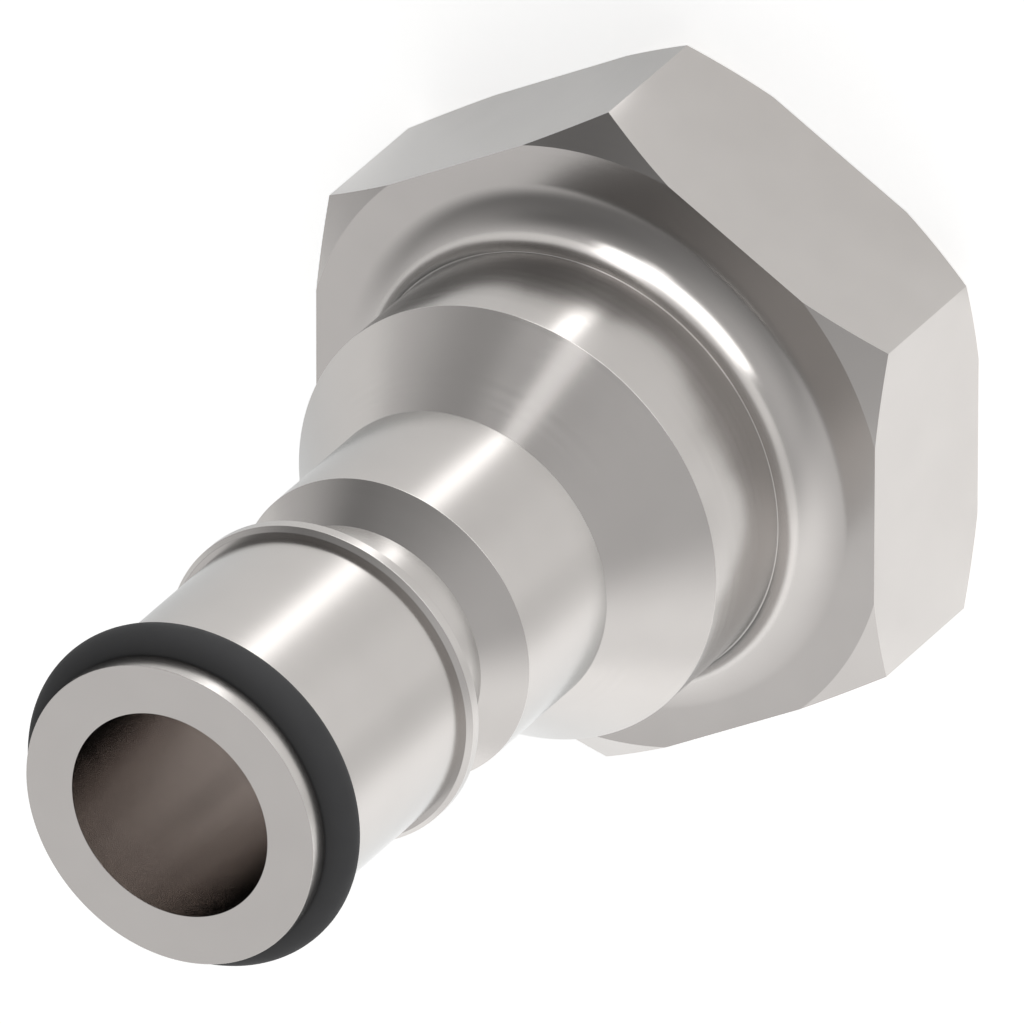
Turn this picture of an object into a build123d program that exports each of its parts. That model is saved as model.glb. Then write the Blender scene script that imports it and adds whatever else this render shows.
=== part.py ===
from build123d import *

import os
from math import radians, sqrt, tan

# Quick coupling nipple, standing on the rear face of its hexagon with the tip up. Millimetres.
# The axis is +Z, the origin is the centre of the rear face, and a hexagon corner points along +Y.

# Hexagon for the spanner
HEX_ACROSS_FLATS = 32.0
HEX_LENGTH = 10.5
HEX_CHAMFER_DIAMETER = 33.2  # where the corner chamfers meet the end faces
HEX_CHAMFER_ANGLE = 35.0  # from the end face

# Plain body in front of the hexagon, and the flare down from it
BODY_DIAMETER = 24.0
BODY_LENGTH = 6.24  # between the fillet and the flare
SHOULDER_FILLET = 2.5
FLARE_LENGTH = 4.55

# Guide land and locking groove
GUIDE_DIAMETER = 16.6
GUIDE_LENGTH = 7.7
LOCK_GROOVE_DIAMETER = 13.1
LOCK_GROOVE_FLOOR = 1.8
LOCK_FLANK_ANGLE = 45.0  # from the axis, on both flanks

# Collar in front of the locking groove
COLLAR_DIAMETER = 17.4
COLLAR_LENGTH = 0.8
COLLAR_CHAMFER = 0.25

# Nose with the seal groove near the tip
NOSE_DIAMETER = 16.3
NOSE_LENGTH = 10.95  # from the collar to the seal groove
SEAL_GROOVE_DEPTH = 1.21
LIP_LENGTH = 1.15

# Seal ring
RING_CORD = 2.3
RING_SIDE_CLEARANCE = 0.05  # on each side of the cord
RING_SEAT_CLEARANCE = 0.02  # between the cord and the groove floor

# Flow passage and G 3/4 pipe thread, whose wall is at the minor diameter
BORE_DIAMETER = 11.1
THREAD_MINOR_DIAMETER = 24.117
THREAD_DEPTH = 9.0
THREAD_MOUTH_DIAMETER = 27.0  # of the 45 degree entry

os.makedirs("parts", exist_ok=True)

# Radii
body_radius = BODY_DIAMETER / 2
guide_radius = GUIDE_DIAMETER / 2
lock_radius = LOCK_GROOVE_DIAMETER / 2
collar_radius = COLLAR_DIAMETER / 2
nose_radius = NOSE_DIAMETER / 2
seal_radius = nose_radius - SEAL_GROOVE_DEPTH
bore_radius = BORE_DIAMETER / 2
thread_radius = THREAD_MINOR_DIAMETER / 2
mouth_radius = THREAD_MOUTH_DIAMETER / 2
ring_radius = seal_radius + RING_SEAT_CLEARANCE + RING_CORD / 2
chamfer_radius = HEX_CHAMFER_DIAMETER / 2
cone_radius = 1.05 * HEX_ACROSS_FLATS / sqrt(3)  # just outside the hexagon's corners

# Heights, from the rear face up to the tip
cone_rise = (cone_radius - chamfer_radius) * tan(radians(HEX_CHAMFER_ANGLE))
flank_run = 1 / tan(radians(LOCK_FLANK_ANGLE))
fillet_top = HEX_LENGTH + SHOULDER_FILLET
flare_edge = fillet_top + BODY_LENGTH
flare_foot = flare_edge + FLARE_LENGTH
guide_top = flare_foot + GUIDE_LENGTH
floor_bottom = guide_top + (guide_radius - lock_radius) * flank_run
floor_top = floor_bottom + LOCK_GROOVE_FLOOR
collar_bottom = floor_top + (collar_radius - lock_radius) * flank_run
collar_top = collar_bottom + COLLAR_LENGTH
seal_bottom = collar_top + NOSE_LENGTH
seal_middle = seal_bottom + RING_SIDE_CLEARANCE + RING_CORD / 2
seal_top = seal_middle + RING_CORD / 2 + RING_SIDE_CLEARANCE
tip = seal_top + LIP_LENGTH

# The turned body with its hexagon: one piece of bar
with BuildPart() as nipple_body:
    with BuildSketch(Plane.XY):
        RegularPolygon(HEX_ACROSS_FLATS / 2, 6, major_radius=False, rotation=30)
    extrude(amount=HEX_LENGTH)

    # Both ends of the hexagon are turned down to a cone at the corners
    with BuildSketch(Plane.XZ):
        with BuildLine():
            Polyline(
                (0, 0),
                (chamfer_radius, 0),
                (cone_radius, cone_rise),
                (cone_radius, HEX_LENGTH - cone_rise),
                (chamfer_radius, HEX_LENGTH),
                (0, HEX_LENGTH),
                close=True,
            )
        make_face()
    revolve(axis=Axis.Z, mode=Mode.INTERSECT)

    # Stem, from the shoulder fillet to the tip
    with BuildSketch(Plane.XZ):
        with BuildLine():
            Line((0, HEX_LENGTH), (body_radius + SHOULDER_FILLET, HEX_LENGTH))
            RadiusArc(
                (body_radius + SHOULDER_FILLET, HEX_LENGTH),
                (body_radius, fillet_top),
                SHOULDER_FILLET,
            )
            Polyline(
                (body_radius, fillet_top),
                (body_radius, flare_edge),
                (guide_radius, flare_foot),
                (guide_radius, guide_top),
                (lock_radius, floor_bottom),
                (lock_radius, floor_top),
                (collar_radius, collar_bottom),
                (collar_radius, collar_top - COLLAR_CHAMFER),
                (collar_radius - COLLAR_CHAMFER, collar_top),
                (nose_radius, collar_top),
                (nose_radius, seal_bottom),
                (seal_radius, seal_bottom),
                (seal_radius, seal_top),
                (nose_radius, seal_top),
                (nose_radius, tip),
                (0, tip),
                (0, HEX_LENGTH),
            )
        make_face()
    revolve(axis=Axis.Z)

    # Flow passage with the thread's pocket at the rear
    with BuildSketch(Plane.XZ):
        with BuildLine():
            Polyline(
                (0, 0),
                (mouth_radius, 0),
                (thread_radius, mouth_radius - thread_radius),
                (thread_radius, THREAD_DEPTH),
                (bore_radius, THREAD_DEPTH),
                (bore_radius, tip),
                (0, tip),
                close=True,
            )
        make_face()
    revolve(axis=Axis.Z, mode=Mode.SUBTRACT)

nipple_body.part.label = "nipple_body"

# Rubber seal ring in the groove behind the lip
with BuildPart() as o_ring:
    with BuildSketch(Plane.XZ):
        with Locations((ring_radius, seal_middle)):
            Circle(RING_CORD / 2)
    revolve(axis=Axis.Z)

o_ring.part.label = "o_ring"

export_step(nipple_body.part, "parts/nipple_body.step")
export_step(o_ring.part, "parts/o_ring.step")
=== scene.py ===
"""Quick coupling nipple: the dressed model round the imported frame, with its studio.

The nipple stands on the rear face of its hexagon with the tip up. Its axis is +Z, the origin is the
centre of the rear face, and a hexagon corner points along +Y. Lengths in this file are in metres.
"""

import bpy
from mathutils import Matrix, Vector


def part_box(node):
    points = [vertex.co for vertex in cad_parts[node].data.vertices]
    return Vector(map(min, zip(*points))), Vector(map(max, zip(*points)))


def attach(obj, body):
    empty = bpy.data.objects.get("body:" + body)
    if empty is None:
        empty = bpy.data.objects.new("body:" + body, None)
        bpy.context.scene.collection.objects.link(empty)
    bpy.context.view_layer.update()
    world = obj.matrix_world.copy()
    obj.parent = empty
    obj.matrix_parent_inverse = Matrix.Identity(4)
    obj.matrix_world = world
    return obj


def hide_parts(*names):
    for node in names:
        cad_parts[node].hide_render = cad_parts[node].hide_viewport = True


bl_info = {
    "name": "Quick coupling nipple",
    "version": (1, 0, 0),
    "blender": (4, 5, 0),
    "location": "3D View > Sidebar > Nipple",
    "description": "Makes a turned coupling nipple with its seal ring, and a plain studio round it",
    "category": "Add Mesh",
}

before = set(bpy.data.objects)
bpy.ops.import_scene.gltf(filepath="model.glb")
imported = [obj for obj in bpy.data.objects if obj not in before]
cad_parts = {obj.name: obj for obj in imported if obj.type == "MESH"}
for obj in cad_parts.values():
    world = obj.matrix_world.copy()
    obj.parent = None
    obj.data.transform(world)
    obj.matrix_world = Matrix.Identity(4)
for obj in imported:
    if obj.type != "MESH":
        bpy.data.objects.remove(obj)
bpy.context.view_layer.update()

import math

import bmesh
import bpy
import numpy as np
from bpy.props import FloatProperty, FloatVectorProperty, PointerProperty
from bpy.types import Operator, Panel, PropertyGroup
from mathutils import Matrix, Vector

MM = 0.001
TIP_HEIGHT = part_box("nipple_body")[1].z

# How finely the surfaces are divided
FLAT_COLUMNS = 21  # across each hexagon flat, between the ends of its two chamfer curves
CORNER_COLUMNS = 10  # over each chamfer curve, on each side of a hexagon corner
ARC_STEPS = 24
BREAK_STEPS = 4
THREAD_ROW = 0.075 * MM  # height between rows in the thread
RING_STEPS = 48  # round the cord of the seal ring
RING_COLUMNS = 256  # round the axis
SHARP_ANGLE = math.radians(32)
MERGE_DISTANCE = 0.0005 * MM
TIP_MARGIN = 0.001 * MM  # rows nearer to the tip's height than this count as there
RIDGE_BREAK = 0.9  # cut back of the ridge's crest, as a part of its height

# Rows that keep the bore's wall straight in its shading, this far from its two ends
BORE_HOLD = 1 * MM
MOUTH_HOLD = 0.5 * MM

# The tap's cut ends, and above it the thread's rows end, this far below the pocket's floor
TAP_STOP = 0.4 * MM
THREAD_STOP = 0.3 * MM

# The 55 degree pipe thread form, as parts of the pitch
THREAD_ROUND = 0.137329
THREAD_FORM_DEPTH = 0.640327
THREAD_HALF_ANGLE = math.radians(27.5)

# How bright the floor's own glow is, to the camera and in the steel
PAPER_WHITE = 0.58
PAPER_GLOW = 0.465
CEILING = 0.19  # brightness of the sky overhead
FLOOR_GAP = 0.02 * MM  # the floor lies this far below the rear face

# The camera's axes and the point that it looks at. It is turned about its own axis as the picture
# is. Its lens is long for nearly parallel lines, but one past 1700 mm would put the camera of the
# other views beyond their clip distance.
CAMERA_BACK = (0.43116, 0.49764, 0.75263)
CAMERA_RIGHT = (0.86729, 0.00145, -0.49780)
LOOK_AT = (-3.154 * MM, -3.260 * MM, 13.246 * MM)
CLIP_START, CLIP_END = 0.1, 20.0

# Material slots of the turned body
TURNED, DRAWN, DRILLED, TAPPED = range(4)


# ---------------------------------------------------------------- sizes and colours to change

def length(name, description, mm):
    """A length property whose default is given in millimetres."""
    return FloatProperty(
        name=name, description=description, default=mm * MM, min=0.0, unit="LENGTH", precision=5
    )


def colour(name, description, code):
    """A colour property whose default is an sRGB hex code."""
    return FloatVectorProperty(
        name=name, description=description, default=linear(code), size=3, min=0.0, max=1.0,
        subtype="COLOR",
    )


def linear(code):
    """An sRGB hex code as linear red, green and blue."""
    value = np.array([int(code[i : i + 2], 16) for i in (1, 3, 5)]) / 255
    return tuple(
        np.where(value <= 0.04045, value / 12.92, ((value + 0.055) / 1.055) ** 2.4).tolist()
    )


class NippleSizes(PropertyGroup):
    """Sizes of the turned body and the seal ring"""

    across_flats: length("Across flats", "Width of the hexagon between two flats", 32.0)
    hex_length: length("Hexagon length", "Height of the hexagon", 10.5)
    chamfer_diameter: length("Chamfer diameter", "Where the corner chamfers meet the faces", 33.2)
    chamfer_angle: FloatProperty(
        name="Chamfer angle", description="Slope of the corner chamfers from the end faces",
        default=math.radians(35), subtype="ANGLE",
    )
    body_diameter: length("Body diameter", "Plain body between the fillet and the flare", 23.88)
    fillet: length("Shoulder fillet", "Radius between the hexagon and the body", 2.5)
    body_length: length("Body length", "Plain cylinder between the fillet and the flare", 6.24)
    ridge: length("Ridge", "How far the end of the fillet stands over the plain body", 0.045)
    ridge_length: length("Ridge length", "Height of that end above the fillet", 0.12)
    flare: length("Flare length", "Cone from the flare edge to the guide land", 4.55)
    guide_diameter: length("Guide diameter", "Cylinder behind the locking groove", 16.6)
    guide_length: length("Guide length", "Cylinder behind the locking groove", 7.7)
    lock_diameter: length("Locking groove diameter", "Floor of the locking groove", 13.1)
    lock_floor: length("Locking groove floor", "Width of its plain floor", 1.8)
    collar_diameter: length("Collar diameter", "Rim in front of the locking groove", 17.4)
    collar_length: length("Collar length", "Its cylinder and chamfer", 0.8)
    collar_chamfer: length("Collar chamfer", "On its front edge", 0.25)
    nose_diameter: length("Nose diameter", "Cylinder that the seal ring sits in", 16.3)
    nose_length: length("Nose length", "From the collar to the seal groove", 10.95)
    seal_depth: length("Seal groove depth", "Below the nose", 1.21)
    seal_width: length("Seal groove width", "Along the axis", 2.4)
    bore_diameter: length("Bore diameter", "Flow passage", 11.1)
    thread_minor: length("Thread minor diameter", "G 3/4 inside thread, over its crests", 24.117)
    thread_pitch: length("Thread pitch", "14 threads to the inch", 1.814)
    thread_depth: length("Thread pocket depth", "From the rear face to its floor", 9.0)
    thread_mouth: length("Thread mouth diameter", "Of the 45 degree entry", 27.0)
    edge_break: length("Edge break", "Cut back of each turned edge", 0.012)
    ring_cord: length("Seal ring cord", "Thickness of the seal ring", 2.3)
    ring_seat: length("Seal ring seat", "Gap between the ring and its groove", 0.02)


class NippleFinish(PropertyGroup):
    """Colours and surface of the steel and the rubber"""

    steel: colour("Steel", "Stainless steel seen square on", "#c8c4c1")
    steel_bore: colour("Bore steel", "The passage and the thread, a little warmer", "#c9c4c1")
    steel_edge: colour("Steel edge", "Tint of all the steel where it is seen edge on", "#e3e5e6")
    rubber: colour("Rubber", "Black nitrile rubber", "#404041")
    steel_roughness: FloatProperty(
        name="Steel roughness", description="Blur of the finely turned faces", default=0.2,
        min=0.0, max=1.0, subtype="FACTOR",
    )
    bore_roughness: FloatProperty(
        name="Bore roughness", description="Blur of the reamed flow passage", default=0.16,
        min=0.0, max=1.0, subtype="FACTOR",
    )
    thread_roughness: FloatProperty(
        name="Thread roughness", description="Blur of the tapped inside thread", default=0.26,
        min=0.0, max=1.0, subtype="FACTOR",
    )
    rubber_roughness: FloatProperty(
        name="Rubber roughness", description="Blur of the moulded rubber", default=0.75,
        min=0.0, max=1.0, subtype="FACTOR",
    )


class NippleStage(PropertyGroup):
    """The studio: floor, lamps and camera"""

    floor_size: length("Floor size", "Side of the square floor", 12000.0)
    floor: colour("Floor", "Pale floor paper", "#e9e9e8")
    frame_width: length("Frame width", "Width that the picture shows", 50.98)
    lens: FloatProperty(
        name="Lens", description="Long lens, for nearly parallel lines", default=1560.0,
        subtype="DISTANCE_CAMERA", unit="CAMERA",
    )


# ---------------------------------------------------------------- shapes

def hexagon_columns(flat_radius, chamfer_radius):
    """Angles round the axis and how far the hexagon stands from the axis at each.

    Each 60 degree sector runs from -30 to +30 degrees about the middle of its flat. The hexagon's
    distance there is flat_radius / cos(offset). Columns stand at its corners, and where the chamfer
    circle crosses the flat, at offset acos(flat_radius / chamfer_radius).
    """
    corner = math.pi / 6
    cross = math.acos(flat_radius / chamfer_radius)
    offset = np.concatenate([
        np.linspace(-corner, -cross, CORNER_COLUMNS, endpoint=False),
        np.linspace(-cross, cross, FLAT_COLUMNS, endpoint=False),
        np.linspace(cross, corner, CORNER_COLUMNS, endpoint=False),
    ])
    sector = np.arange(6)[:, None] * (math.pi / 3)
    return (sector + offset).ravel(), np.tile(flat_radius / np.cos(offset), 6)


def arc(centre, radius, start, end, steps=ARC_STEPS):
    """Points of a circle in the plane of distance and height: centre + radius * (cos, sin) of an
    angle that runs evenly from start to end, in degrees."""
    angle = np.radians(np.linspace(start, end, steps + 1))
    return np.array(centre) + radius * np.stack([np.cos(angle), np.sin(angle)], axis=1)


def broken(outline, cut):
    """An outline with its corners taken off by cut, where cut is one number a point, 0 for none.

    A corner P becomes the curve (1-s)^2 A + 2 s (1-s) P + s^2 B, where A and B are the points at
    the distance cut from P towards its neighbours, and s runs from 0 to 1. One more point stands
    beyond A and one beyond B, so that the long faces beside the corner stay flat in their shading.
    """
    to_last = np.roll(outline, 1, axis=0) - outline
    to_next = np.roll(outline, -1, axis=0) - outline
    share = cut[:, None]

    def along(way, step):
        return outline + way * step / np.linalg.norm(way, axis=1)[:, None]

    def held(way):
        reach = np.linalg.norm(way, axis=1)[:, None]
        return along(way, np.minimum(2 * share, (share + reach) / 2) * (share > 0))[:, None]

    first, last = along(to_last, share)[:, None], along(to_next, share)[:, None]
    s = np.linspace(0, 1, BREAK_STEPS + 1)[None, :, None]
    curve = (1 - s) ** 2 * first + 2 * s * (1 - s) * outline[:, None] + s**2 * last
    curve = np.concatenate([held(to_last), curve, held(to_next)], axis=1)
    keep = np.ones(curve.shape[:2], bool)
    keep[cut == 0, 1:] = False
    return curve[keep]


def stem_outline(s):
    """Distance and height of the stem's outer line, from the tip down to the hexagon's front face,
    with a cut for each corner that is a real edge."""
    body, guide, lock = s.body_diameter / 2, s.guide_diameter / 2, s.lock_diameter / 2
    collar, nose = s.collar_diameter / 2, s.nose_diameter / 2
    seal = nose - s.seal_depth
    flare_edge = s.hex_length + s.fillet + s.body_length
    flare_foot = flare_edge + s.flare
    guide_top = flare_foot + s.guide_length
    floor_bottom = guide_top + guide - lock
    floor_top = floor_bottom + s.lock_floor
    collar_bottom = floor_top + collar - lock
    collar_top = collar_bottom + s.collar_length
    seal_bottom = collar_top + s.nose_length
    seal_top = seal_bottom + s.seal_width
    straight = np.array([
        (nose, TIP_HEIGHT), (nose, seal_top), (seal, seal_top), (seal, seal_bottom),
        (nose, seal_bottom), (nose, collar_top), (collar - s.collar_chamfer, collar_top),
        (collar, collar_top - s.collar_chamfer), (collar, collar_bottom), (lock, floor_top),
        (lock, floor_bottom), (guide, guide_top), (guide, flare_foot),
    ])
    # Inside corners of the two grooves and at the foot of the flare stay as the tool leaves them
    edge = np.array([1, 1, 0, 0, 1, 0, 1, 1, 1, 0, 0, 1, 0]) * s.edge_break
    # The fillet's tool stops just over the body and leaves a thin ridge
    top = s.hex_length + s.fillet
    crest = body + s.ridge
    lower = np.array([
        (body, flare_edge), (body, top + s.ridge_length), (crest, top + s.ridge_length),
    ])
    lower_edge = np.array([s.edge_break, 0, RIDGE_BREAK * s.ridge])
    fillet = arc((crest + s.fillet, top), s.fillet, 180, 270)
    return (
        np.concatenate([straight, lower, fillet]),
        np.concatenate([edge, lower_edge, np.zeros(len(fillet))]),
    )


def thread_depth(height, angle, s):
    """How deep the inside thread is cut at a height and an angle round the axis.

    The cut depends on x, the distance along the axis from the nearest crest of a right-hand helix,
    height / pitch - angle / full turn. From the crest it goes down a round, a straight flank at
    half the thread's angle, and the same round to the root. Over the last turn before the floor it
    fades out, as a tap leaves it.
    """
    pitch = s.thread_pitch
    radius, full = THREAD_ROUND * pitch, THREAD_FORM_DEPTH * pitch
    turn = (height / pitch - angle / (2 * math.pi)) % 1.0
    x = np.minimum(turn, 1 - turn) * pitch
    x_flank = radius * math.cos(THREAD_HALF_ANGLE)
    y_flank = radius * (1 - math.sin(THREAD_HALF_ANGLE))

    def rounded(distance):
        return radius - np.sqrt(np.maximum(radius**2 - distance**2, 0))

    flank = y_flank + (x - x_flank) / math.tan(THREAD_HALF_ANGLE)
    cut = np.where(x < x_flank, rounded(x), flank)
    cut = np.where(x > pitch / 2 - x_flank, full - rounded(pitch / 2 - x), cut)
    return cut * np.clip((s.thread_depth - TAP_STOP - height) / pitch, 0, 1)


def close_grid(name, distance, height, angle, slot=None):
    """A mesh whose rows and columns both close on themselves, like a ring's.

    A point stands at (distance cos(angle), distance sin(angle), height). distance and height have
    one row for each step along the outline and one column for each angle. slot is a material
    number for each row.
    """
    rows, columns = distance.shape
    points = np.stack([distance * np.cos(angle), distance * np.sin(angle), height], axis=-1)
    place = np.arange(rows * columns).reshape(rows, columns)
    below, aside = np.roll(place, -1, axis=0), np.roll(place, -1, axis=1)
    quads = np.stack([place, below, np.roll(below, -1, axis=1), aside], axis=-1).reshape(-1, 4)
    mesh = bpy.data.meshes.new(name)
    mesh.from_pydata(points.reshape(-1, 3), [], quads)
    if slot is not None:
        mesh.polygons.foreach_set("material_index", np.repeat(slot, columns).astype(np.int32))
    edit = bmesh.new()
    edit.from_mesh(mesh)
    bmesh.ops.remove_doubles(edit, verts=edit.verts, dist=MERGE_DISTANCE)
    bmesh.ops.recalc_face_normals(edit, faces=edit.faces)
    for face in edit.faces:
        face.smooth = True
    edit.to_mesh(mesh)
    edit.free()
    mesh.set_sharp_from_angle(angle=SHARP_ANGLE)
    return mesh


def add_piece(name, mesh, materials, node):
    """Puts a mesh in the scene as a piece that stands for a CAD node."""
    for material in materials:
        mesh.materials.append(material)
    piece = bpy.data.objects.new(name, mesh)
    bpy.context.scene.collection.objects.link(piece)
    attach(piece, "root")
    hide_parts(node)


def body_mesh(s):
    """The turned body as one closed surface, whose outline runs up the bore from the pocket's
    floor, down the outside from the tip, across the rear face and up the thread.

    Every row is a function of the angle: a circle on the turned parts, flat radius / cos(offset)
    on the hexagon, where the chamfer's height falls with the tangent of its angle, and the helix
    of thread_depth in the pocket.
    """
    flat, chamfer = s.across_flats / 2, s.chamfer_diameter / 2
    angle, hexagon = hexagon_columns(flat, chamfer)
    stem, stem_cut = stem_outline(s)

    # Inside line from the thread pocket's floor through the bore to the tip, and its cuts
    bore, minor = s.bore_diameter / 2, s.thread_minor / 2
    inside = np.array([
        (minor, s.thread_depth), (bore, s.thread_depth), (bore, s.thread_depth + BORE_HOLD),
        (bore, TIP_HEIGHT - MOUTH_HOLD), (bore, TIP_HEIGHT),
    ])
    inside_cut = np.array([0, 1, 0, 0, 1]) * s.edge_break
    line = broken(np.concatenate([inside, stem]), np.concatenate([inside_cut, stem_cut]))
    tip_row = int(np.argmax(line[:, 1] >= TIP_HEIGHT - TIP_MARGIN))
    turned = np.repeat(line[:, :, None], len(angle), axis=2)

    # Hexagon: front edge circle, both ends of the flats, rear edge circle
    drop = np.maximum(hexagon - chamfer, 0) * math.tan(s.chamfer_angle)
    edge = np.minimum(hexagon, chamfer)
    zero = np.zeros_like(angle)
    outside = np.array([
        (edge, zero + s.hex_length), (hexagon, s.hex_length - drop), (hexagon, drop), (edge, zero),
    ])

    # Thread: the 45 degree mouth or the cut of the thread, whichever is deeper
    top = s.thread_depth - THREAD_STOP
    height = np.linspace(0, top, math.ceil(top / THREAD_ROW) + 1)[:, None] + zero
    cone = s.thread_mouth / 2 - height
    wall = minor + thread_depth(height, angle[None, :], s)
    thread = np.stack([np.maximum(cone, wall), height], axis=1)

    grid = np.concatenate([turned, outside, thread])
    slot = np.full(len(grid), TURNED)
    slot[:tip_row] = DRILLED
    first = len(turned)
    slot[first + 1] = DRAWN
    slot[first + len(outside) :] = TAPPED
    return close_grid("turned_body", grid[:, 0], grid[:, 1], angle, slot)


def ring_mesh(s):
    """The seal ring: a circle of the cord's radius carried round the axis, at the height of the
    middle of its groove."""
    radius = s.ring_cord / 2
    centre = s.nose_diameter / 2 - s.seal_depth + s.ring_seat + radius
    low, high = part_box("o_ring")
    outline = arc((centre, (low.z + high.z) / 2), radius, 0, 360, RING_STEPS)[:-1]
    angle = np.linspace(0, 2 * math.pi, RING_COLUMNS, endpoint=False)
    grid = np.repeat(outline[:, :, None], len(angle), axis=2)
    return close_grid("seal_ring", grid[:, 0], grid[:, 1], angle)


# ---------------------------------------------------------------- materials

def add_node(tree, kind, links=None, **settings):
    """Adds a node to a tree.

    settings are the node's own properties, or values of its inputs, by name with _ for a space, or
    by number with _ before it. links joins its inputs, by name or number, to other nodes' outputs.
    """
    node = tree.nodes.new(kind)
    inputs = {}
    for key, value in settings.items():
        if hasattr(node, key):
            setattr(node, key, value)
        else:
            inputs[key] = value
    for key, value in inputs.items():
        socket = int(key[1:]) if key[1:].isdigit() else key.replace("_", " ")
        node.inputs[socket].default_value = value
    for key, output in (links or {}).items():
        tree.links.new(output, node.inputs[key])
    return node


def new_material(name):
    """An empty node material with its output, as (material, tree, output)."""
    material = bpy.data.materials.new(name)
    material.use_nodes = True
    tree = material.node_tree
    tree.nodes.clear()
    return material, tree, add_node(tree, "ShaderNodeOutputMaterial")


def turned_place(tree):
    """A point of the object, and its distance from the axis and its height as a second vector.

    The second is the same all round the axis, so a pattern read from it makes rings on every turned
    surface.
    """
    place = add_node(tree, "ShaderNodeTexCoord").outputs["Object"]
    axes = add_node(tree, "ShaderNodeSeparateXYZ", {0: place})
    flat = add_node(tree, "ShaderNodeCombineXYZ", {"X": axes.outputs["X"], "Y": axes.outputs["Y"]})
    away = add_node(tree, "ShaderNodeVectorMath", {0: flat.outputs[0]}, operation="LENGTH")
    rings = add_node(
        tree, "ShaderNodeCombineXYZ", {"X": away.outputs["Value"], "Y": axes.outputs["Z"]}
    )
    return place, rings.outputs[0]


def steel(name, code, edge, roughness, spacing, height, lengthwise=False):
    """Stainless steel with tool marks, which run round the axis, or along it if lengthwise.

    spacing is the distance between the marks and height is their depth, both in mm. The roughness
    changes with them by 0.01 either way. The tone changes slowly by 3 %, in patches of 3 mm.
    """
    material, tree, output = new_material(name)
    place, pattern = turned_place(tree)
    if lengthwise:
        pattern = add_node(
            tree, "ShaderNodeMapping", {"Vector": place}, Scale=(1.0, 1.0, 0.02)
        ).outputs[0]
    marks = add_node(
        tree, "ShaderNodeTexNoise", {"Vector": pattern}, Scale=1 / (spacing * MM), Detail=1.0,
        Roughness=0.5,
    )
    tone = add_node(
        tree, "ShaderNodeTexNoise", {"Vector": place}, Scale=1 / (3.0 * MM), Detail=2.0
    )
    blur = add_node(
        tree, "ShaderNodeMapRange", {"Value": marks.outputs["Fac"]}, From_Min=0.3, From_Max=0.7,
        To_Min=roughness - 0.01, To_Max=roughness + 0.01,
    )
    mixed = add_node(
        tree, "ShaderNodeMapRange", {"Value": tone.outputs["Fac"]}, From_Min=0.3, From_Max=0.7,
        To_Min=0.97, To_Max=1.0,
    )
    shade = add_node(
        tree, "ShaderNodeVectorMath", {"Scale": mixed.outputs["Result"]}, operation="SCALE", _0=code
    )
    bump = add_node(
        tree, "ShaderNodeBump", {"Height": marks.outputs["Fac"]}, Strength=1.0,
        Distance=height * MM,
    )
    surface = add_node(
        tree, "ShaderNodeBsdfPrincipled",
        {"Base Color": shade.outputs[0], "Roughness": blur.outputs[0], "Normal": bump.outputs[0]},
        Metallic=1.0, Specular_Tint=(*edge, 1.0),
    )
    tree.links.new(surface.outputs[0], output.inputs["Surface"])
    return material


def rubber(name, code, roughness):
    """Black nitrile rubber, moulded and slightly matt.

    The mould's blasted skin is drawn as a grain of 0.15 mm, coarser than the real one so that it
    shows, and faint patches of 1.5 mm are where the ring has been handled.
    """
    material, tree, output = new_material(name)
    place = add_node(tree, "ShaderNodeTexCoord").outputs["Object"]
    grain = add_node(
        tree, "ShaderNodeTexNoise", {"Vector": place}, Scale=1 / (0.15 * MM), Detail=2.0
    )
    patch = add_node(
        tree, "ShaderNodeTexNoise", {"Vector": place}, Scale=1 / (1.5 * MM), Detail=3.0
    )
    blur = add_node(
        tree, "ShaderNodeMapRange", {"Value": patch.outputs["Fac"]}, From_Min=0.3, From_Max=0.7,
        To_Min=roughness - 0.04, To_Max=roughness + 0.05,
    )
    bump = add_node(
        tree, "ShaderNodeBump", {"Height": grain.outputs["Fac"]}, Strength=1.0,
        Distance=0.002 * MM,
    )
    surface = add_node(
        tree, "ShaderNodeBsdfPrincipled",
        {"Roughness": blur.outputs[0], "Normal": bump.outputs[0]},
        Base_Color=(*code, 1.0), IOR=1.42, Specular_IOR_Level=0.3,
    )
    tree.links.new(surface.outputs[0], output.inputs["Surface"])
    return material


def lobe(tree, direction, axis, sharpness, strength):
    """Strength times the cosine between a direction and an axis, to a power: a round soft patch."""
    dot = add_node(
        tree, "ShaderNodeVectorMath", {0: direction}, operation="DOT_PRODUCT",
        _1=Vector(axis).normalized(),
    )
    above = add_node(tree, "ShaderNodeMath", {0: dot.outputs["Value"]}, operation="MAXIMUM", _1=0.0)
    power = add_node(
        tree, "ShaderNodeMath", {0: above.outputs[0]}, operation="POWER", _1=sharpness
    )
    return add_node(
        tree, "ShaderNodeMath", {0: power.outputs[0]}, operation="MULTIPLY", _1=strength
    ).outputs[0]


def panel(tree, direction, axis, outer, inner, strength):
    """Strength within an angle of an axis, where the cosine is above inner, falling smoothly to
    none where it is below outer: a broad panel with a soft edge."""
    dot = add_node(
        tree, "ShaderNodeVectorMath", {0: direction}, operation="DOT_PRODUCT",
        _1=Vector(axis).normalized(),
    )
    return add_node(
        tree, "ShaderNodeMapRange", {"Value": dot.outputs["Value"]}, From_Min=outer,
        From_Max=inner, To_Max=strength, interpolation_type="SMOOTHSTEP",
    ).outputs["Result"]


# ---------------------------------------------------------------- operators

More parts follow.
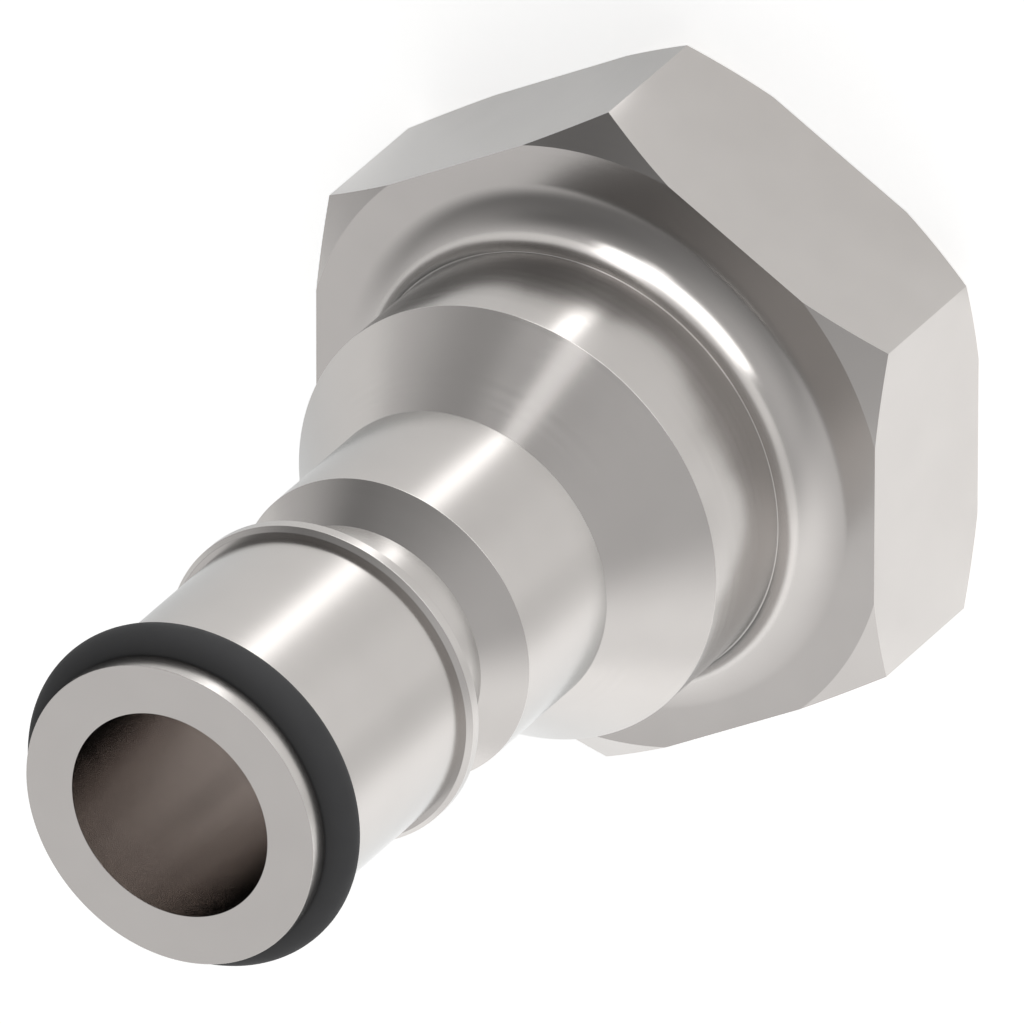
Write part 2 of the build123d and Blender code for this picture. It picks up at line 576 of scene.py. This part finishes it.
class NIPPLE_OT_body(Operator):
    """Make the turned steel body with its hexagon, grooves, bore and inside thread"""

    bl_idname = "nipple.make_body"
    bl_label = "Turned body"

    def execute(self, context):
        sizes, finish = context.scene.nipple_sizes, context.scene.nipple_finish
        plain, bore, edge = finish.steel, finish.steel_bore, finish.steel_edge
        # Turned stainless steel, fine finish: soft broad reflections, with rings too faint to
        # break them. Feed marks are really about 0.05 mm apart, drawn at 0.25 mm to show.
        turned = steel("stainless_steel_fine_turned", plain, edge, finish.steel_roughness,
                       spacing=0.25, height=0.00012)
        # Cold drawn hexagon bar: even satin flats with faint lines along the bar
        drawn = steel("stainless_steel_drawn_bar", plain, edge, finish.steel_roughness,
                      spacing=0.25, height=0.00015, lengthwise=True)
        # Drilled and reamed bore: smoother than the outside, with faint lines along the passage
        drilled = steel("stainless_steel_reamed_bore", bore, edge, finish.bore_roughness,
                        spacing=0.3, height=0.0001, lengthwise=True)
        # Tapped thread: torn slightly rougher than the turned faces
        tapped = steel("stainless_steel_tapped_thread", bore, edge, finish.thread_roughness,
                       spacing=0.3, height=0.0003)
        add_piece("turned_body", body_mesh(sizes), (turned, drawn, drilled, tapped),
                  "nipple_body")
        return {"FINISHED"}


class NIPPLE_OT_seal(Operator):
    """Make the rubber seal ring in its groove behind the lip"""

    bl_idname = "nipple.make_seal"
    bl_label = "Seal ring"

    def execute(self, context):
        sizes, finish = context.scene.nipple_sizes, context.scene.nipple_finish
        black = rubber("nitrile_rubber_moulded", finish.rubber, finish.rubber_roughness)
        add_piece("seal_ring", ring_mesh(sizes), (black,), "o_ring")
        return {"FINISHED"}


def floor_material(code):
    """Matt white paper with a glow of its own, which keeps the object's shadow.

    To the camera the glow is even and makes the paper white. In the steel it has brighter and
    dimmer patches: pools of painted light and painted shade that only reflections see, put there as
    painted highlights and painted reflections in the steel. Their places are distances from the
    axis, and directions from it, so they stay where they are from any side.
    """
    material, tree, output = new_material("floor_paper_painted_light")
    place = add_node(tree, "ShaderNodeTexCoord").outputs["Object"]
    axes = add_node(tree, "ShaderNodeSeparateXYZ", {0: place}).outputs
    flat = add_node(tree, "ShaderNodeCombineXYZ", {"X": axes["X"], "Y": axes["Y"]}).outputs[0]
    way = add_node(tree, "ShaderNodeVectorMath", {0: flat}, operation="NORMALIZE").outputs[0]
    away = add_node(tree, "ShaderNodeVectorMath", {0: flat}, operation="LENGTH").outputs["Value"]

    # The even glow, with a painted pool of light under the open passage: a little more glow there,
    # which the bore reflects
    glow = add_node(
        tree, "ShaderNodeMapRange", {"Value": away}, From_Min=13 * MM, From_Max=11 * MM,
        To_Min=PAPER_GLOW, To_Max=PAPER_GLOW + 0.15,
    ).outputs["Result"]

    # A painted pool of light: a small bright spot in front of the +Y corner of the hexagon, which
    # the steel shows as a painted highlight
    near = add_node(
        tree, "ShaderNodeVectorMath", {0: flat}, operation="DISTANCE",
        _1=(-0.3 * MM, 26.2 * MM, 0.0),
    )
    painted_light_spot = add_node(
        tree, "ShaderNodeMapRange", {"Value": near.outputs["Value"]}, From_Min=3.4 * MM,
        From_Max=1.0 * MM, To_Max=2.4, interpolation_type="SMOOTHSTEP",
    )

    # Painted light: the side of the floor under the big panel, or the paper close to the hexagon on
    # the side away from the spot, whichever is brighter, glows more for the steel to reflect
    side = panel(tree, way, (0.26, -0.97, 0.0), outer=0.33, inner=0.85, strength=0.45)
    beside = add_node(
        tree, "ShaderNodeMapRange", {"Value": axes["Y"]}, From_Min=10 * MM, From_Max=7 * MM,
        To_Max=0.39, interpolation_type="SMOOTHSTEP",
    )
    close = add_node(
        tree, "ShaderNodeMapRange", {"Value": away}, From_Min=27 * MM, From_Max=23 * MM,
        interpolation_type="SMOOTHSTEP",
    )
    beside = add_node(
        tree, "ShaderNodeMath", {0: close.outputs[0], 1: beside.outputs[0]}, operation="MULTIPLY"
    )
    painted_light_wide = add_node(
        tree, "ShaderNodeMath", {0: side, 1: beside.outputs[0]}, operation="MAXIMUM"
    )
    for patch in (painted_light_spot, painted_light_wide):
        glow = add_node(
            tree, "ShaderNodeMath", {0: patch.outputs[0], 1: glow}, operation="ADD"
        ).outputs[0]

    # Painted light and painted shade in patches that fade in between two distances in mm: a narrow
    # strip of painted light that runs on from behind the spot and shows in the steel as a painted
    # streak, painted light on the paper far off before the soft box, two dim sectors of painted
    # shade, and a slightly brighter patch of painted light close to the hexagon on the -X side
    start = add_node(
        tree, "ShaderNodeVectorMath", {0: flat}, operation="SUBTRACT",
        _1=(2.6 * MM, 9.6 * MM, 0.0),
    )
    run = add_node(tree, "ShaderNodeVectorMath", {0: start.outputs[0]}, operation="NORMALIZE")
    for patch, dark_at, full_at in (
        (lobe(tree, run.outputs[0], (-0.122, 0.993, 0.0), sharpness=50.0, strength=1.25), 27, 30.5),
        (panel(tree, way, (0.31, 0.95, 0.0), outer=0.76, inner=0.88, strength=1.2), 58, 76),
        (panel(tree, way, (0.99, -0.15, 0.0), outer=0.93, inner=0.99, strength=-0.1), 25, 30),
        (lobe(tree, way, (0.52, 0.85, 0.0), sharpness=30.0, strength=-0.1), 27, 32),
        (panel(tree, way, (-0.82, 0.57, 0.0), outer=0.7, inner=0.9, strength=0.06), 27, 23),
    ):
        reach = add_node(
            tree, "ShaderNodeMapRange", {"Value": away}, From_Min=dark_at * MM,
            From_Max=full_at * MM, interpolation_type="SMOOTHSTEP",
        )
        glow = add_node(
            tree, "ShaderNodeMath", {0: reach.outputs[0], 1: patch, 2: glow},
            operation="MULTIPLY_ADD",
        ).outputs[0]

    # Only glossy and transmission rays see the glow with its painted light and shade; the camera
    # sees even white paper
    seen = add_node(tree, "ShaderNodeLightPath").outputs
    mirrored = add_node(
        tree, "ShaderNodeMath", {0: seen["Is Glossy Ray"], 1: seen["Is Transmission Ray"]},
        operation="ADD",
    )
    steel_sees_painted_light = add_node(
        tree, "ShaderNodeMath", {0: glow, 1: mirrored.outputs[0]}, operation="MULTIPLY"
    )
    strength = add_node(
        tree, "ShaderNodeMath", {0: seen["Is Camera Ray"], 2: steel_sees_painted_light.outputs[0]},
        operation="MULTIPLY_ADD", _1=PAPER_WHITE,
    )
    paper = add_node(tree, "ShaderNodeBsdfDiffuse", Color=(*code, 1.0))
    light = add_node(tree, "ShaderNodeEmission", {"Strength": strength.outputs[0]})
    both = add_node(tree, "ShaderNodeAddShader", {0: paper.outputs[0], 1: light.outputs[0]})
    tree.links.new(both.outputs[0], output.inputs["Surface"])
    return material


def studio_world():
    """A grey sky that brightens down to the horizon, most on the -X side. It has a broad bright
    panel on the -Y side, soft light from +X, a faint patch high between +X and +Y, and a dim one
    between -X and +Y."""
    world = bpy.data.worlds.new("studio_sky")
    world.use_nodes = True
    tree = world.node_tree
    tree.nodes.clear()
    direction = add_node(tree, "ShaderNodeTexCoord").outputs["Generated"]
    axes = add_node(tree, "ShaderNodeSeparateXYZ", {0: direction}).outputs
    low = add_node(
        tree, "ShaderNodeMapRange", {"Value": axes["Z"]}, From_Min=0.83, From_Max=0.0, To_Max=0.6
    )
    west = add_node(
        tree, "ShaderNodeMapRange", {"Value": axes["X"]}, From_Min=-1.0, To_Min=0.9, To_Max=0.1
    )
    strength = add_node(
        tree, "ShaderNodeMath", {0: low.outputs["Result"], 1: west.outputs["Result"]},
        operation="MULTIPLY_ADD", _2=CEILING,
    ).outputs[0]
    for patch in (
        panel(tree, direction, (0.0, -0.99, 0.15), outer=0.15, inner=0.75, strength=0.67),
        lobe(tree, direction, (0.86, 0.0, 0.51), sharpness=2.0, strength=0.4),
        lobe(tree, direction, (0.46, 0.58, 0.67), sharpness=8.0, strength=0.08),
        lobe(tree, direction, (-0.63, 0.61, 0.47), sharpness=20.0, strength=-0.18),
    ):
        strength = add_node(
            tree, "ShaderNodeMath", {0: patch, 1: strength}, operation="ADD"
        ).outputs[0]
    sky = add_node(
        tree, "ShaderNodeBackground", {"Strength": strength}, Color=(1.0, 1.0, 1.0, 1.0)
    )
    output = add_node(tree, "ShaderNodeOutputWorld")
    tree.links.new(sky.outputs[0], output.inputs["Surface"])
    return world


def soft_lamp(name, direction, distance, width, height, radiance):
    """A rectangular lamp facing the object from a distance in a direction. radiance is how bright
    the steel sees it: a rectangle's power is its radiance times pi times its area."""
    data = bpy.data.lights.new(name, "AREA")
    data.shape = "RECTANGLE"
    data.size, data.size_y = width, height
    data.energy = radiance * math.pi * width * height
    lamp = bpy.data.objects.new(name, data)
    way = Vector(direction).normalized()
    lamp.location = way * distance + Vector((0, 0, TIP_HEIGHT / 2))
    lamp.rotation_euler = way.to_track_quat("Z", "Y").to_euler()
    lamp.visible_camera = False
    bpy.context.scene.collection.objects.link(lamp)


class NIPPLE_OT_stage(Operator):
    """Make the floor, the sky, the lamps and the camera"""

    bl_idname = "nipple.make_stage"
    bl_label = "Studio"

    def execute(self, context):
        scene, stage = context.scene, context.scene.nipple_stage
        half, low = stage.floor_size / 2, -FLOOR_GAP
        corners = [(-half, -half, low), (half, -half, low), (half, half, low), (-half, half, low)]
        mesh = bpy.data.meshes.new("studio_floor")
        mesh.from_pydata(corners, [], [(0, 1, 2, 3)])
        mesh.materials.append(floor_material(stage.floor))
        floor = bpy.data.objects.new("studio_floor", mesh)
        scene.collection.objects.link(floor)

        scene.world = studio_world()
        soft_lamp("soft_box", (0.34, 0.94, 0.135), distance=0.6, width=0.94, height=0.23,
                  radiance=2.3)
        soft_lamp("strip_lamp", (0.08, 0.93, 0.37), distance=0.6, width=0.12, height=0.1,
                  radiance=1.1)

        scene.view_settings.view_transform = "Standard"
        scene.cycles.glossy_bounces = 10  # light passes down the bore in this many reflections

        back, right = Vector(CAMERA_BACK), Vector(CAMERA_RIGHT)
        data = bpy.data.cameras.new("camera")
        data.lens = stage.lens
        data.clip_start, data.clip_end = CLIP_START, CLIP_END
        away = stage.frame_width * data.lens / data.sensor_width
        turn = Matrix((right, back.cross(right), back)).transposed().to_4x4()
        camera = bpy.data.objects.new("camera", data)
        camera.matrix_world = Matrix.Translation(Vector(LOOK_AT) + back * away) @ turn
        scene.collection.objects.link(camera)
        scene.camera = camera
        return {"FINISHED"}


class NIPPLE_PT_panel(Panel):
    """Sidebar panel with the pieces of the nipple"""

    bl_label = "Quick coupling nipple"
    bl_space_type = "VIEW_3D"
    bl_region_type = "UI"
    bl_category = "Nipple"

    def draw(self, context):
        for operator in OPERATORS:
            self.layout.operator(operator.bl_idname)
        for group in GROUPS:
            box = self.layout.box()
            owner = getattr(context.scene, group)
            for name in owner.bl_rna.properties.keys():
                if name not in ("rna_type", "name"):
                    box.prop(owner, name)


OPERATORS = (NIPPLE_OT_body, NIPPLE_OT_seal, NIPPLE_OT_stage)
GROUPS = {
    "nipple_sizes": NippleSizes,
    "nipple_finish": NippleFinish,
    "nipple_stage": NippleStage,
}
CLASSES = (*GROUPS.values(), *OPERATORS, NIPPLE_PT_panel)


def register():
    for cls in CLASSES:
        bpy.utils.register_class(cls)
    for name, group in GROUPS.items():
        setattr(bpy.types.Scene, name, PointerProperty(type=group))


def unregister():
    for name in GROUPS:
        delattr(bpy.types.Scene, name)
    for cls in reversed(CLASSES):
        bpy.utils.unregister_class(cls)


def main():
    register()
    bpy.ops.nipple.make_body()
    bpy.ops.nipple.make_seal()
    bpy.ops.nipple.make_stage()


if __name__ == "__main__":
    main()
